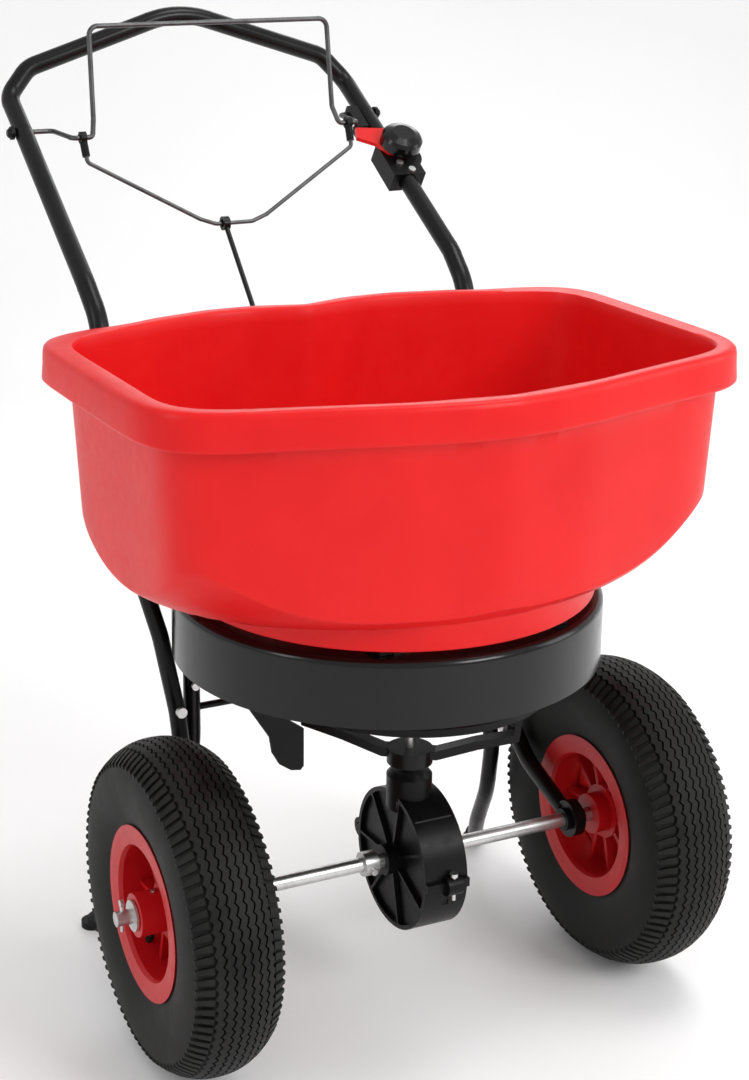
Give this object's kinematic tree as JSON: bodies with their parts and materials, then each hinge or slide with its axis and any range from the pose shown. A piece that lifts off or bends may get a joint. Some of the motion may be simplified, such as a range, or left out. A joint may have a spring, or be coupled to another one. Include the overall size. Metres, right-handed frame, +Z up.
{
  "type": "broadcast spreader",
  "caption": "Push broadcast spreader: hopper over a spinning impeller driven by the axle, on pneumatic wheels, with a handle and a squeeze bail that opens the outlets.",
  "frame": {"origin": "on the ground under the middle of the footprint, on the centre plane", "axes": "+Z up, -Y is the front (direction of the hopper's spread), the axle runs along X and the handle reaches to +Y"},
  "size_m": [0.684, 0.8522, 1.0507],
  "materials": {
    "hopper_red": "satin moulded polyethylene",
    "rim_red": "satin moulded nylon",
    "black_gloss": "glossy moulded",
    "black_plastic": "satin moulded",
    "powder_black": "satin powder coat",
    "zinc": "zinc plated",
    "dark_steel": "dark plated wire",
    "gear_steel": "oiled cut steel",
    "gear_brass": "cast",
    "tyre_rubber": "moulded tread",
    "valve_rubber": "matt"
  },
  "bodies": {
    "frame": {"hopper": "hopper_red", "shroud": "black_gloss", "side_tabs": "black_plastic", "plate_guides": "black_plastic", "gearbox_upper": "black_plastic", "gearbox_lower": "black_plastic", "gearbox_screws": "zinc", "axle_bushes": "black_plastic", "left_frame": "powder_black", "right_frame": "powder_black", "left_leg": "powder_black", "right_leg": "powder_black", "foot_caps": "valve_rubber", "cross_rod": "powder_black", "rear_brace": "powder_black", "frame_bolts": "zinc", "handle_bar": "powder_black", "joint_sleeves": "black_plastic", "joint_bolts": "zinc", "bail_clamp": "black_plastic", "clamp_screw": "zinc", "crank_pin": "zinc", "stop_bracket": "black_plastic", "stop_screws": "zinc"},
    "axle_drive": {"axle": "zinc", "axle_collars": "zinc", "hub_washers": "zinc", "axle_pins": "zinc", "crown_gear": "gear_steel", "left_rim": "rim_red", "left_tyre": "tyre_rubber", "left_valve": "valve_rubber"},
    "right_wheel": {"right_rim": "rim_red", "right_tyre": "tyre_rubber", "right_valve": "valve_rubber"},
    "impeller_drive": {"impeller": "black_plastic", "carrier_bar": "powder_black", "impeller_shaft": "zinc", "shaft_collar": "zinc", "agitator": "zinc", "pinion": "gear_brass", "drive_pin": "zinc"},
    "bail": {"bail": "dark_steel", "bail_caps": "black_plastic"},
    "yoke": {"yoke": "dark_steel", "hook_sleeves": "black_plastic"},
    "control_rod": {"control_rod": "powder_black"},
    "crank": {"crank": "zinc"},
    "gate": {"shut_off_plate": "zinc"},
    "stop_lever": {"stop_lever": "hopper_red"},
    "stop_knob": {"stop_knob": "black_gloss"}
  },
  "joints": [
    {"name": "axle_spin", "type": "hinge", "parent": "frame", "child": "axle_drive", "pos_m": [0, -0.219, 0.178], "axis": [1, 0, 0], "continuous": true},
    {"name": "right_wheel_spin", "type": "hinge", "parent": "frame", "child": "right_wheel", "pos_m": [0, -0.219, 0.178], "axis": [1, 0, 0], "continuous": true},
    {"name": "impeller_spin", "type": "hinge", "parent": "frame", "child": "impeller_drive", "pos_m": [0, -0.219, 0.3], "axis": [0, 0, 1], "continuous": true},
    {"name": "bail_squeeze", "type": "hinge", "parent": "frame", "child": "bail", "pos_m": [0, 0.3472, 0.9144], "axis": [-1, 0, 0], "range_deg": [0, 30], "stiffness_Nm_per_rad": 1, "springref_deg": -17.19},
    {"name": "yoke_swing", "type": "hinge", "parent": "bail", "child": "yoke", "pos_m": [0, 0.289, 0.912], "axis": [1, 0, 0], "range_deg": [0, 38.41]},
    {"name": "rod_pull", "type": "slide", "parent": "frame", "child": "control_rod", "axis": [0, 0.6823, 0.7311], "range_m": [0, 0.03304]},
    {"name": "crank_turn", "type": "hinge", "parent": "frame", "child": "crank", "pos_m": [-0.012, 0.15575, 0.60315], "axis": [-1, 0, 0], "range_deg": [0, 25.46]},
    {"name": "gate_slide", "type": "slide", "parent": "frame", "child": "gate", "axis": [0, -1, 0], "range_m": [0, 0.0502]},
    {"name": "stop_set", "type": "hinge", "parent": "frame", "child": "stop_lever", "pos_m": [0.236, 0.26477, 0.8856], "axis": [0, -0.5373, 0.8434], "range_deg": [-20, 20]},
    {"name": "knob_turn", "type": "hinge", "parent": "frame", "child": "stop_knob", "pos_m": [0.236, 0.26477, 0.8856], "axis": [0, -0.5373, 0.8434], "range_deg": [-180, 180]}
  ],
  "couplings": [
    {"joint": "impeller_spin", "follows": "axle_spin", "ratio": -4},
    {"joint": "yoke_swing", "follows": "bail_squeeze", "ratio": 1.2796},
    {"joint": "rod_pull", "follows": "bail_squeeze", "m_per_rad": 0.06306},
    {"joint": "crank_turn", "follows": "bail_squeeze", "ratio": 0.848},
    {"joint": "gate_slide", "follows": "bail_squeeze", "m_per_rad": 0.09584}
  ]
}
